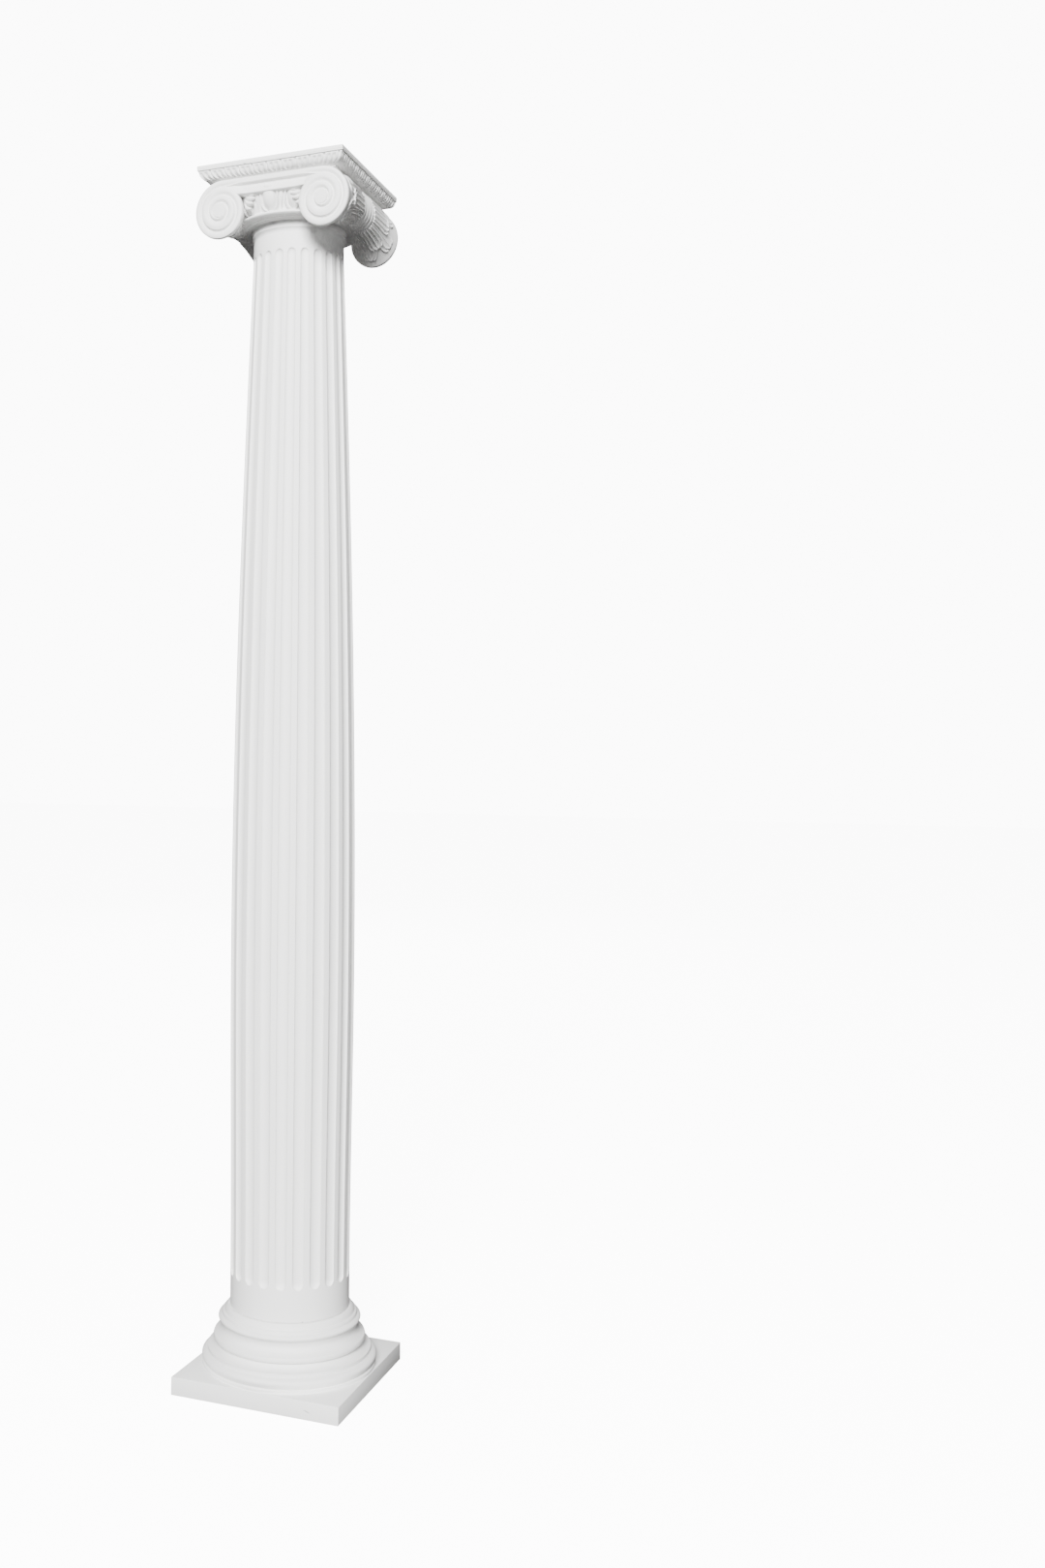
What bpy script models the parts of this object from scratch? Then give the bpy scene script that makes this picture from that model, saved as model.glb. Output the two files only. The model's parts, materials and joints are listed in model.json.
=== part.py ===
"""Round fluted column with an Ionic capital: base, shaft and capital, each cast as one piece.

Metres, +Z up. The origin is the middle of the plinth's underside. The volutes face -Y and +Y,
and the bolsters that join them lie along the +X and -X sides.
"""

import math

import bmesh
import bpy
from mathutils import Matrix, Vector

# Whole column
COLUMN_HEIGHT = 2.700
JOINT_GAP = 0.0003

# Base, from the floor up
PLINTH_SIDE = 0.384
PLINTH_HEIGHT = 0.0375
PLINTH_EDGE = 0.0015
FOOT_FILLET_RADIUS = 0.1905
FOOT_FILLET_HEIGHT = 0.0073
LOWER_TORUS_RADIUS = 0.1918
LOWER_TORUS_HEIGHT = 0.0217
LOWER_FILLET_RADIUS = 0.1790
LOWER_FILLET_HEIGHT = 0.0085
LOWER_SCOTIA_RADIUS = 0.1600
LOWER_SCOTIA_HEIGHT = 0.0145
MIDDLE_RING_RADIUS = 0.1672
MIDDLE_RING_HEIGHT = 0.0105
SLOPE_TOP_RADIUS = 0.1550
SLOPE_HEIGHT = 0.0055
UPPER_SCOTIA_RADIUS = 0.1475
UPPER_SCOTIA_HEIGHT = 0.0210
UPPER_TORUS_RADIUS = 0.1570
UPPER_TORUS_HEIGHT = 0.0150
SECOND_BAND_RADIUS = 0.1488
SECOND_BAND_HEIGHT = 0.0072
FIRST_BAND_RADIUS = 0.1432
FIRST_BAND_HEIGHT = 0.0102
BASE_TOP_RADIUS = 0.1350
BAND_ROUND = 0.0015
RING_ROUND = 0.0015
TORUS_TUCK = 0.0035
SCOTIA_ROUND = 0.0028
SCOTIA_STEP = 0.0055
QUIRK_HEIGHT = 0.0012

# Shaft
SHAFT_FOOT_RADIUS = 0.1315
SHAFT_SWELL_RADIUS = 0.1390
SHAFT_SWELL_HEIGHT = 0.980
SHAFT_NECK_RADIUS = 0.1055
FLUTE_COUNT = 22
FLUTE_SHARE = 2 / 3
FLUTE_DEPTH = 0.0068
FLUTE_PHASE = math.radians(14.3)
FLUTE_FOOT_BAND = 0.0665
FLUTE_HEAD_BAND = 0.0480
NECK_RING_RADIUS = 0.1128
NECK_RING_HEIGHT = 0.0145
NECK_HOLLOW_HEIGHT = 0.0100
NECK_CLEARANCE = 0.0012
NECK_RING_EDGE = 0.0022

# Capital
CAPITAL_HEIGHT = 0.1280
ABACUS_SIDE = 0.3574
ABACUS_FILLET_HEIGHT = 0.0115
ABACUS_GROOVE_DEPTH = 0.0050
ABACUS_GROOVE_HEIGHT = 0.0015
ABACUS_OVOLO_SIDE = 0.3530
ABACUS_OVOLO_HEIGHT = 0.0195
ABACUS_SOFFIT_SIDE = 0.3170
ABACUS_SOFFIT_HEIGHT = 0.0040
ABACUS_SOFFIT_RECESS = 0.0080
ABACUS_LEAVES = 10
ABACUS_LEAF_RELIEF = 0.0030
ABACUS_LEAF_DEPTH = 0.0080
ABACUS_EDGE = 0.0010
ABACUS_OVOLO_BULGE = 0.0050
VOLUTE_PLANE = 0.1640
VOLUTE_EYE_OFFSET = 0.1242
VOLUTE_EYE_DROP = 0.0715
VOLUTE_EYE_RADIUS = 0.0163
VOLUTE_EYE_RELIEF = 0.0085
VOLUTE_WIDTH_SHARE = 0.93
VOLUTE_TURN_STEP = 0.0155
VOLUTE_TURN_GROWTH = 0.0020
VOLUTE_GROOVE_WIDTH = 0.0170
VOLUTE_GROOVE_DEPTH = 0.0050
VOLUTE_LAND = 0.0035
GROOVE_CUTTER_HEIGHT = 0.0120
VOLUTE_RIM_WIDTH = 0.0080
BOLSTER_WAIST_SHARE = 0.56
BOLSTER_WAIST_SHIFT = 0.0140
BOLSTER_WAIST_RISE = 0.0180
BOLSTER_FLARE_POWER = 2.2
GIRDLE_WIDTH = 0.0600
GIRDLE_RIBS = 4
GIRDLE_RELIEF = 0.0035
BOLSTER_LEAF_RELIEF = 0.0045
BOLSTER_SINK = 0.0005
CHANNEL_FILLET_HEIGHT = 0.0115
CHANNEL_HEIGHT = 0.0255
CHANNEL_DEPTH = 0.0085
CHANNEL_SETBACK = 0.0006
CHANNEL_THICKNESS = 0.0440
ECHINUS_TOP_RADIUS = 0.1560
ECHINUS_FOOT_RADIUS = 0.1430
ECHINUS_BULGE = 0.0040
ASTRAGAL_RADIUS = 0.1500
ASTRAGAL_HEIGHT = 0.0120
SOFFIT_STEP_HEIGHT = 0.0015
EGG_PITCH = math.radians(22.5)
EGG_PHASE = math.radians(-3.7)
EGG_WIDTH = 0.0380
EGG_HEIGHT = 0.0535
EGG_RELIEF = 0.0090
EGG_SINK = 0.0050
PALMETTE_OFFSET = 0.0790
PALMETTE_DROP = 0.0020
PETAL_TIPS = ((0.0450, 0.0040), (0.0455, 0.0135), (0.0500, 0.0240))
PETAL_RELIEF = 0.0115
PETAL_RADIUS = 0.0050

# Facets
TURN_STEPS = 32
ARC_STEPS = 4
SHAFT_LEVELS = 3
FLUTE_WIDTH_SHARES = (-1.0, -0.55, 0.0, 0.55, 1.0)
FLUTE_END_SHARE = 1.3
BOLSTER_SIDES = 16
SPIRAL_STEPS = 9
SINK = 0.0040

# Heights that follow
BASE_TOP = (PLINTH_HEIGHT + FOOT_FILLET_HEIGHT + LOWER_TORUS_HEIGHT + LOWER_FILLET_HEIGHT
            + LOWER_SCOTIA_HEIGHT + MIDDLE_RING_HEIGHT + SLOPE_HEIGHT + UPPER_SCOTIA_HEIGHT
            + UPPER_TORUS_HEIGHT + SECOND_BAND_HEIGHT + FIRST_BAND_HEIGHT)
SHAFT_FOOT = BASE_TOP + JOINT_GAP
CAPITAL_FOOT = COLUMN_HEIGHT - CAPITAL_HEIGHT
SHAFT_TOP = CAPITAL_FOOT - JOINT_GAP
NECK_RING_FOOT = SHAFT_TOP - NECK_RING_HEIGHT
NECK_HOLLOW_FOOT = NECK_RING_FOOT - NECK_HOLLOW_HEIGHT
FLUTE_FOOT = SHAFT_FOOT + FLUTE_FOOT_BAND
FLUTE_HEAD = NECK_RING_FOOT - FLUTE_HEAD_BAND
ABACUS_FOOT = COLUMN_HEIGHT - (ABACUS_FILLET_HEIGHT + ABACUS_GROOVE_HEIGHT + ABACUS_OVOLO_HEIGHT
                               + ABACUS_SOFFIT_HEIGHT)
EYE_HEIGHT = ABACUS_FOOT - VOLUTE_EYE_DROP
CHANNEL_TOP = ABACUS_FOOT - CHANNEL_FILLET_HEIGHT
CHANNEL_FOOT = CHANNEL_TOP - CHANNEL_HEIGHT


def clear_scene():
    """Take every object out of the scene."""
    for thing in list(bpy.data.objects):
        bpy.data.objects.remove(thing)


def new_collection(name):
    """Make a collection and link it to the scene."""
    collection = bpy.data.collections.new(name)
    bpy.context.scene.collection.children.link(collection)
    return collection


def plaster(name, colour, roughness):
    """Make the matte white coating of one piece."""
    material = bpy.data.materials.new(name)
    material.use_nodes = True
    shader = material.node_tree.nodes["Principled BSDF"]
    shader.inputs["Base Color"].default_value = (*colour, 1)
    shader.inputs["Roughness"].default_value = roughness
    shader.inputs["Metallic"].default_value = 0
    return material


def object_from(bm, name, collection):
    """Turn a bmesh into an object, with its faces pointing out."""
    bmesh.ops.recalc_face_normals(bm, faces=bm.faces)
    mesh = bpy.data.meshes.new(name)
    bm.to_mesh(mesh)
    bm.free()
    thing = bpy.data.objects.new(name, mesh)
    collection.objects.link(thing)
    return thing


def as_cutter(thing):
    """Show a helper object as wires only."""
    thing.hide_render = True
    thing.display_type = "WIRE"
    return thing


def combine(target, helper, operation):
    """Join a helper to a piece, or cut it out of the piece."""
    modifier = target.modifiers.new(helper.name, "BOOLEAN")
    modifier.operation = operation
    modifier.solver = "EXACT"
    modifier.object = helper
    as_cutter(helper)


def arc(start, end, bulge, steps=ARC_STEPS):
    """Points after start along a curve to end that leaves the chord sideways by bulge."""
    start = Vector(start)
    end = Vector(end)
    chord = end - start
    side = Vector((-chord.y, chord.x)).normalized()
    points = []
    for step in range(1, steps + 1):
        share = step / steps
        points.append(start + chord * share + side * bulge * math.sin(math.pi * share))
    return points


def turned(name, profile, steps, collection):
    """Turn a profile of (radius, height) points, which runs down its outer side, about Z."""
    mesh = bpy.data.meshes.new(name)
    points = [(0, 0, profile[0][1]), *((radius, 0, height) for radius, height in profile)]
    points.append((0, 0, profile[-1][1]))
    edges = [(index, index + 1) for index in range(len(points) - 1)]
    mesh.from_pydata(points, edges, [])
    thing = bpy.data.objects.new(name, mesh)
    collection.objects.link(thing)
    screw = thing.modifiers.new("Turn", "SCREW")
    screw.angle = math.tau
    screw.steps = steps
    screw.render_steps = steps
    screw.use_merge_vertices = True
    screw.merge_threshold = 0.00001
    return thing


def loft(name, rings, collection):
    """Skin a list of closed rings of equally many points, and cap both ends."""
    bm = bmesh.new()
    rows = [[bm.verts.new(point) for point in ring] for ring in rings]
    count = len(rows[0])
    for lower, upper in zip(rows, rows[1:]):
        for index in range(count):
            after = (index + 1) % count
            bm.faces.new((lower[index], lower[after], upper[after], upper[index]))
    bm.faces.new(rows[0][::-1])
    bm.faces.new(rows[-1])
    return object_from(bm, name, collection)


def base_profile():
    """Follow the base's mouldings down from the shaft's seat into the plinth."""
    height = BASE_TOP
    points = [Vector((BASE_TOP_RADIUS, height))]
    height -= FIRST_BAND_HEIGHT
    points += arc(points[-1], (FIRST_BAND_RADIUS, height), BAND_ROUND, 2)
    height -= SECOND_BAND_HEIGHT
    points += arc(points[-1], (SECOND_BAND_RADIUS, height), BAND_ROUND, 2)
    height -= UPPER_TORUS_HEIGHT
    torus_foot = UPPER_SCOTIA_RADIUS + TORUS_TUCK
    middle = UPPER_TORUS_RADIUS - (SECOND_BAND_RADIUS + torus_foot) / 2
    points += arc(points[-1], (torus_foot, height), middle)
    height -= UPPER_SCOTIA_HEIGHT
    hollow = UPPER_SCOTIA_RADIUS - SLOPE_TOP_RADIUS + TORUS_TUCK
    points += arc(points[-1], (SLOPE_TOP_RADIUS, height), hollow, 3)
    height -= SLOPE_HEIGHT
    points.append(Vector((MIDDLE_RING_RADIUS - RING_ROUND, height)))
    height -= MIDDLE_RING_HEIGHT
    points += arc(points[-1], (MIDDLE_RING_RADIUS - RING_ROUND, height), RING_ROUND, 2)
    points.append(Vector((LOWER_SCOTIA_RADIUS, height - QUIRK_HEIGHT)))
    height -= LOWER_SCOTIA_HEIGHT
    points += arc(points[-1], (LOWER_FILLET_RADIUS - SCOTIA_STEP, height), -SCOTIA_ROUND, 3)
    points.append(Vector((LOWER_FILLET_RADIUS, height - QUIRK_HEIGHT)))
    height -= LOWER_FILLET_HEIGHT
    points.append(Vector((LOWER_FILLET_RADIUS, height)))
    height -= LOWER_TORUS_HEIGHT
    torus_foot = FOOT_FILLET_RADIUS - TORUS_TUCK
    middle = LOWER_TORUS_RADIUS - (LOWER_FILLET_RADIUS + torus_foot) / 2
    points += arc(points[-1], (torus_foot, height), middle, 5)
    points.append(Vector((FOOT_FILLET_RADIUS, height - QUIRK_HEIGHT)))
    points.append(Vector((FOOT_FILLET_RADIUS, PLINTH_HEIGHT - SINK)))
    return [tuple(point) for point in points]


def make_base(pieces, helpers):
    """Square plinth with the turned mouldings standing on it."""
    bm = bmesh.new()
    size = Vector((PLINTH_SIDE, PLINTH_SIDE, PLINTH_HEIGHT))
    place = Matrix.Translation((0, 0, PLINTH_HEIGHT / 2)) @ Matrix.Diagonal((*size, 1))
    bmesh.ops.create_cube(bm, size=1, matrix=place)
    base = object_from(bm, "base", pieces)
    edge = base.modifiers.new("Edge", "BEVEL")
    edge.width = PLINTH_EDGE
    edge.segments = 1
    combine(base, turned("base_mouldings", base_profile(), TURN_STEPS, helpers), "UNION")
    base.data.materials.append(plaster("base_coating", (0.86, 0.86, 0.85), 0.6))
    return base


def shaft_radius(height):
    """Radius of the shaft's fillets: the foot swells gently, then the shaft thins to the neck."""
    if height < SHAFT_SWELL_HEIGHT:
        share = (SHAFT_SWELL_HEIGHT - height) / (SHAFT_SWELL_HEIGHT - SHAFT_FOOT)
        ease = (1 - math.cos(math.pi * share)) / 2
        return SHAFT_SWELL_RADIUS + (SHAFT_FOOT_RADIUS - SHAFT_SWELL_RADIUS) * ease
    share = (height - SHAFT_SWELL_HEIGHT) / (FLUTE_HEAD - SHAFT_SWELL_HEIGHT)
    ease = 1 - math.cos(math.pi / 2 * min(share, 1))
    return SHAFT_SWELL_RADIUS + (SHAFT_NECK_RADIUS - SHAFT_SWELL_RADIUS) * ease


def flute_half_angle():
    """Half the angle that one flute takes of the shaft."""
    return math.pi / FLUTE_COUNT * FLUTE_SHARE


def flute_depth(across, height):
    """Depth of a flute at a share of its half width, with ends rounded like a ball cutter's."""
    end = SHAFT_FOOT_RADIUS * flute_half_angle()
    inside = min(height - FLUTE_FOOT, FLUTE_HEAD - height)
    if inside <= 0:
        return 0.0
    along = max(0.0, 1 - inside / end)
    return FLUTE_DEPTH * math.sqrt(max(0.0, 1 - across ** 2 - along ** 2))


def shaft_ring(heights, radius_at):
    """One row of the shaft: every flute has two edges and three points in its hollow."""
    ring = []
    for flute in range(FLUTE_COUNT):
        centre = FLUTE_PHASE + math.tau * flute / FLUTE_COUNT
        for across, height in zip(FLUTE_WIDTH_SHARES, heights):
            angle = centre + across * flute_half_angle()
            reach = radius_at(height) - flute_depth(across, height)
            ring.append((reach * math.sin(angle), -reach * math.cos(angle), height))
    return ring


def level_ring(height, radius):
    """Level row of one radius, for the plain neck."""
    return shaft_ring([height] * len(FLUTE_WIDTH_SHARES), lambda _: radius)


def fluted_rings():
    """Rows of the fluted part: those at its ends bend round the flutes' heads and feet."""
    end = SHAFT_FOOT_RADIUS * flute_half_angle()
    straight = end * FLUTE_END_SHARE
    bends = [end * (1 - math.sqrt(1 - across ** 2)) for across in FLUTE_WIDTH_SHARES]
    foot_rows = [[SHAFT_FOOT] * len(bends)]
    head_rows = []
    for share in (0.0, 0.10, 0.40, 1.0):
        lifts = [bend + (straight - bend) * share for bend in bends]
        foot_rows.append([FLUTE_FOOT + lift for lift in lifts])
        head_rows.append([FLUTE_HEAD - lift for lift in lifts])
    low = FLUTE_FOOT + straight
    span = FLUTE_HEAD - straight - low
    middle = [low + span * step / SHAFT_LEVELS for step in range(1, SHAFT_LEVELS)]
    middle_rows = [[height] * len(bends) for height in middle]
    rows = [*foot_rows, *middle_rows, *reversed(head_rows)]
    return [shaft_ring(heights, shaft_radius) for heights in rows]


def make_shaft(pieces):
    """Fluted shaft with a swelling, a plain neck and a ring at its top."""
    rim = NECK_RING_RADIUS - NECK_RING_EDGE
    rings = fluted_rings()
    rings.append(level_ring(NECK_HOLLOW_FOOT, SHAFT_NECK_RADIUS))
    rings.append(level_ring(NECK_RING_FOOT, rim))
    rings.append(level_ring((NECK_RING_FOOT + SHAFT_TOP) / 2, NECK_RING_RADIUS))
    rings.append(level_ring(SHAFT_TOP, rim))
    shaft = loft("shaft", rings, pieces)
    shaft.data.shade_smooth()
    shaft.data.set_sharp_from_angle(angle=math.radians(25))
    shaft.data.materials.append(plaster("shaft_coating", (0.87, 0.87, 0.86), 0.6))
    return shaft


def abacus_profile():
    """Half sides and heights down the abacus: fillet, groove, ovolo and a thin soffit fillet."""
    half = ABACUS_SIDE / 2
    ovolo = ABACUS_OVOLO_SIDE / 2
    soffit = ABACUS_SOFFIT_SIDE / 2
    height = COLUMN_HEIGHT
    points = [Vector((half - ABACUS_EDGE, height)), Vector((half, height - ABACUS_EDGE))]
    height -= ABACUS_FILLET_HEIGHT
    points.append(Vector((half, height)))
    points.append(Vector((ovolo - ABACUS_GROOVE_DEPTH, height)))
    height -= ABACUS_GROOVE_HEIGHT
    points.append(Vector((ovolo, height)))
    height -= ABACUS_OVOLO_HEIGHT
    points += arc(points[-1], (soffit, height), ABACUS_OVOLO_BULGE)
    points.append(Vector((soffit - ABACUS_SOFFIT_RECESS, height)))
    height -= ABACUS_SOFFIT_HEIGHT
    points.append(Vector((soffit - ABACUS_SOFFIT_RECESS, height)))
    return points


def make_abacus(helpers):
    """Square moulded slab: a profile turned in four steps has mitred corners."""
    profile = [(half * math.sqrt(2), height) for half, height in abacus_profile()]
    abacus = turned("abacus", profile, 4, helpers)
    abacus.rotation_euler.z = math.pi / 4
    return abacus


def make_abacus_leaves(helpers):
    """Row of pointed leaves round the abacus, each a four-sided bud that stands out of the ovolo."""
    bm = bmesh.new()
    pitch = ABACUS_SOFFIT_SIDE / ABACUS_LEAVES
    top = COLUMN_HEIGHT - ABACUS_FILLET_HEIGHT - ABACUS_GROOVE_HEIGHT
    drop = math.atan2((ABACUS_OVOLO_SIDE - ABACUS_SOFFIT_SIDE) / 2, ABACUS_OVOLO_HEIGHT)
    lean = Matrix.Rotation(math.pi / 2 + drop, 4, "X")
    length = math.hypot((ABACUS_OVOLO_SIDE - ABACUS_SOFFIT_SIDE) / 2, ABACUS_OVOLO_HEIGHT)
    swell = ABACUS_OVOLO_BULGE + ABACUS_LEAF_RELIEF - ABACUS_LEAF_DEPTH / 2
    out = (ABACUS_OVOLO_SIDE + ABACUS_SOFFIT_SIDE) / 4 + swell * math.cos(drop)
    middle = top - ABACUS_OVOLO_HEIGHT / 2 - swell * math.sin(drop)
    shape = Matrix.Diagonal((pitch * 0.52, length * 0.42, 1, 1))
    for side in range(4):
        turn = Matrix.Rotation(math.pi / 2 * side, 4, "Z")
        for leaf in range(ABACUS_LEAVES):
            along = (leaf - (ABACUS_LEAVES - 1) / 2) * pitch
            place = turn @ Matrix.Translation((along, -out, middle)) @ lean @ shape
            bmesh.ops.create_cone(bm, cap_ends=True, segments=4, radius1=1, radius2=0.35,
                                  depth=ABACUS_LEAF_DEPTH, matrix=place)
    return object_from(bm, "abacus_leaves", helpers)


def spiral_radius(turns):
    """Distance from the volute's eye to its spiral line after so many turns from the top."""
    return VOLUTE_EYE_DROP - VOLUTE_TURN_STEP * turns - VOLUTE_TURN_GROWTH * turns ** 2


def volute_outline():
    """Closed outline round the eye as (outward, up) points: a spiral turn brought back to its start."""
    outline = []
    for side in range(BOLSTER_SIDES):
        turns = side / BOLSTER_SIDES
        radius = spiral_radius(turns)
        if turns > 0.75:
            radius += (VOLUTE_EYE_DROP - radius) * ((turns - 0.75) / 0.25)
        angle = math.pi / 2 - math.tau * turns
        outline.append(Vector((radius * VOLUTE_WIDTH_SHARE * math.cos(angle), radius * math.sin(angle))))
    return outline


def bolster_ring(side, along, extra, leafy):
    """Section of a bolster at a place along Y: narrow at the waist, its top always at the abacus."""
    share = min(abs(along) / (VOLUTE_PLANE - VOLUTE_RIM_WIDTH), 1) ** BOLSTER_FLARE_POWER
    scale = BOLSTER_WAIST_SHARE + (1 - BOLSTER_WAIST_SHARE) * share
    shift = BOLSTER_WAIST_SHIFT * (1 - share)
    rise = BOLSTER_WAIST_RISE * (1 - share)
    top = VOLUTE_EYE_DROP - rise + BOLSTER_SINK
    ring = []
    for index, point in enumerate(volute_outline()):
        growth = scale + extra / VOLUTE_EYE_DROP
        if leafy:
            growth += (index % 2 - 0.5) * BOLSTER_LEAF_RELIEF / VOLUTE_EYE_DROP
        out = point.x * growth
        up = point.y * growth if point.y < 0 else point.y * top / VOLUTE_EYE_DROP
        ring.append((side * (VOLUTE_EYE_OFFSET + shift + out), along, EYE_HEIGHT + rise + up))
    return ring


def bolster_sections():
    """Places along Y with their extra radius, and whether leaves cover the place."""
    rear = VOLUTE_PLANE
    rim = rear - VOLUTE_RIM_WIDTH
    half = GIRDLE_WIDTH / 2
    side = [(rear, 0.0, False), (rim, 0.0, False)]
    for share in (0.80, 0.45, 0.12):
        side.append((half + (rim - half) * share, 0.0, True))
    girdle = []
    for step in range(2 * GIRDLE_RIBS + 1):
        relief = GIRDLE_RELIEF if step % 2 else 0.0
        girdle.append((half - GIRDLE_WIDTH * step / (2 * GIRDLE_RIBS), relief, False))
    mirrored = [(-along, extra, leafy) for along, extra, leafy in reversed(side)]
    return [*side, *girdle, *mirrored]


def make_neck_room(helpers):
    """Room for the shaft's neck, which comes up between the bolsters to the capital's seat."""
    room = bmesh.new()
    top = CAPITAL_FOOT + SINK / 2
    foot = CAPITAL_FOOT - VOLUTE_EYE_DROP
    bmesh.ops.create_cone(room, cap_ends=True, segments=TURN_STEPS, depth=top - foot,
                          radius1=NECK_RING_RADIUS + NECK_CLEARANCE,
                          radius2=NECK_RING_RADIUS + NECK_CLEARANCE,
                          matrix=Matrix.Translation((0, 0, (top + foot) / 2)))
    return object_from(room, "neck_room", helpers)


def make_bolster(side, neck_room, helpers):
    """Scroll roll from the front volute to the rear one, with a ribbed girdle at its waist."""
    rings = [bolster_ring(side, *section) for section in bolster_sections()]
    bolster = loft("bolster_right" if side > 0 else "bolster_left", rings, helpers)
    combine(bolster, neck_room, "DIFFERENCE")
    return bolster


def make_eyes(helpers):
    """Shallow cone on each volute's face that carries its round flat eye."""
    bm = bmesh.new()
    wide = spiral_radius(0.75) - VOLUTE_LAND
    depth = VOLUTE_EYE_RELIEF + SINK
    for side in (-1, 1):
        for face in (-1, 1):
            middle = face * (VOLUTE_PLANE - SINK + depth / 2)
            lean = Matrix.Rotation(-face * math.pi / 2, 4, "X")
            place = Matrix.Translation((side * VOLUTE_EYE_OFFSET, middle, EYE_HEIGHT)) @ lean
            bmesh.ops.create_cone(bm, cap_ends=True, segments=BOLSTER_SIDES, radius1=wide,
                                  radius2=VOLUTE_EYE_RADIUS, depth=depth, matrix=place)
    return object_from(bm, "volute_eyes", helpers)


def spiral_groove(side, face, helpers):
    """Wedge that follows the inner edge of a volute's ribbon, for cutting its groove."""
    turns = 1.0
    last = 2.55
    rings = []
    steps = round((last - turns) * SPIRAL_STEPS)
    wide = spiral_radius(0.75)
    for step in range(steps + 1):
        share = turns + (last - turns) * step / steps
        radius = spiral_radius(share)
        rise = VOLUTE_EYE_RELIEF * min(1, (wide - radius) / (wide - VOLUTE_EYE_RADIUS))
        floor = VOLUTE_PLANE + max(0, rise) - VOLUTE_GROOVE_DEPTH
        angle = math.pi / 2 - math.tau * share
        ring = []
        for across, lift in ((-0.5, GROOVE_CUTTER_HEIGHT), (0.35, 0.0), (0.5, GROOVE_CUTTER_HEIGHT)):
            reach = radius - across * VOLUTE_GROOVE_WIDTH
            out = VOLUTE_EYE_OFFSET + reach * VOLUTE_WIDTH_SHARE * math.cos(angle)
            ring.append((side * out, face * (floor + lift), EYE_HEIGHT + reach * math.sin(angle)))
        rings.append(ring)
    name = f"groove_{'right' if side > 0 else 'left'}_{'rear' if face > 0 else 'front'}"
    return loft(name, rings, helpers)


def make_channel(face, helpers):
    """Band between two volutes: an upper fillet with a hollow channel below it."""
    plane = VOLUTE_PLANE - CHANNEL_SETBACK
    back = plane - CHANNEL_THICKNESS
    floor = plane - CHANNEL_DEPTH
    top = ABACUS_FOOT + SINK / 4
    profile = [(back, top), (plane, top), (plane, CHANNEL_TOP)]
    for share in (0.10, 0.40, 0.70, 1.0):
        lift = CHANNEL_DEPTH * 0.85 * share ** 2
        profile.append((floor + lift, CHANNEL_TOP - CHANNEL_HEIGHT * share))
    profile.append((floor - SINK, CHANNEL_FOOT - SINK / 2))
    profile.append((back, CHANNEL_FOOT - SINK / 2))
    reach = VOLUTE_EYE_OFFSET
    rings = [[(along, face * out, height) for out, height in profile] for along in (-reach, reach)]
    return loft("channel_rear" if face > 0 else "channel_front", rings, helpers)


def make_bed(helpers):
    """Block under the abacus that fills the space between the bolsters and the two channels."""
    bm = bmesh.new()
    top = ABACUS_FOOT + SINK * 0.3
    foot = CHANNEL_FOOT + CHANNEL_HEIGHT / 3
    across = 2 * (VOLUTE_EYE_OFFSET + BOLSTER_WAIST_SHIFT)
    deep = 2 * (VOLUTE_PLANE - CHANNEL_DEPTH - SINK)
    size = Matrix.Diagonal((across, deep, top - foot, 1))
    place = Matrix.Translation((0, 0, (top + foot) / 2)) @ size
    bmesh.ops.create_cube(bm, size=1, matrix=place)
    return object_from(bm, "bed", helpers)


def core_profile():
    """Echinus and astragal down to the seat on the shaft."""
    foot = CAPITAL_FOOT + ASTRAGAL_HEIGHT
    seat = CAPITAL_FOOT + SOFFIT_STEP_HEIGHT
    inner = ECHINUS_TOP_RADIUS - CHANNEL_DEPTH / 4
    points = [Vector((inner, ABACUS_FOOT + SINK * 0.375))]
    points.append(Vector((inner, CHANNEL_FOOT + SINK / 4)))
    points.append(Vector((ECHINUS_TOP_RADIUS, CHANNEL_FOOT + SINK / 4)))
    points += arc(points[-1], (ECHINUS_FOOT_RADIUS, foot), ECHINUS_BULGE, 3)
    points += arc(points[-1], (ECHINUS_FOOT_RADIUS, seat), ASTRAGAL_RADIUS - ECHINUS_FOOT_RADIUS)
    step = (ECHINUS_FOOT_RADIUS + NECK_RING_RADIUS) / 2
    points.append(Vector((step, seat)))
    points.append(Vector((step, CAPITAL_FOOT)))
    return [tuple(point) for point in points]


def make_eggs(helpers):
    """Three eggs on the echinus under each channel."""
    bm = bmesh.new()
    middle = CHANNEL_FOOT - EGG_HEIGHT * 0.30
    size = Matrix.Diagonal((EGG_WIDTH / 2, EGG_RELIEF * 1.4, EGG_HEIGHT / 2, 1))
    for face in (0, math.pi):
        for egg in (-1, 0, 1):
            turn = Matrix.Rotation(face + egg * EGG_PITCH + EGG_PHASE, 4, "Z")
            place = turn @ Matrix.Translation((0, EGG_SINK - ECHINUS_TOP_RADIUS, middle)) @ size
            bmesh.ops.create_uvsphere(bm, u_segments=6, v_segments=5, radius=1, matrix=place)
    return object_from(bm, "eggs", helpers)


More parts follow.
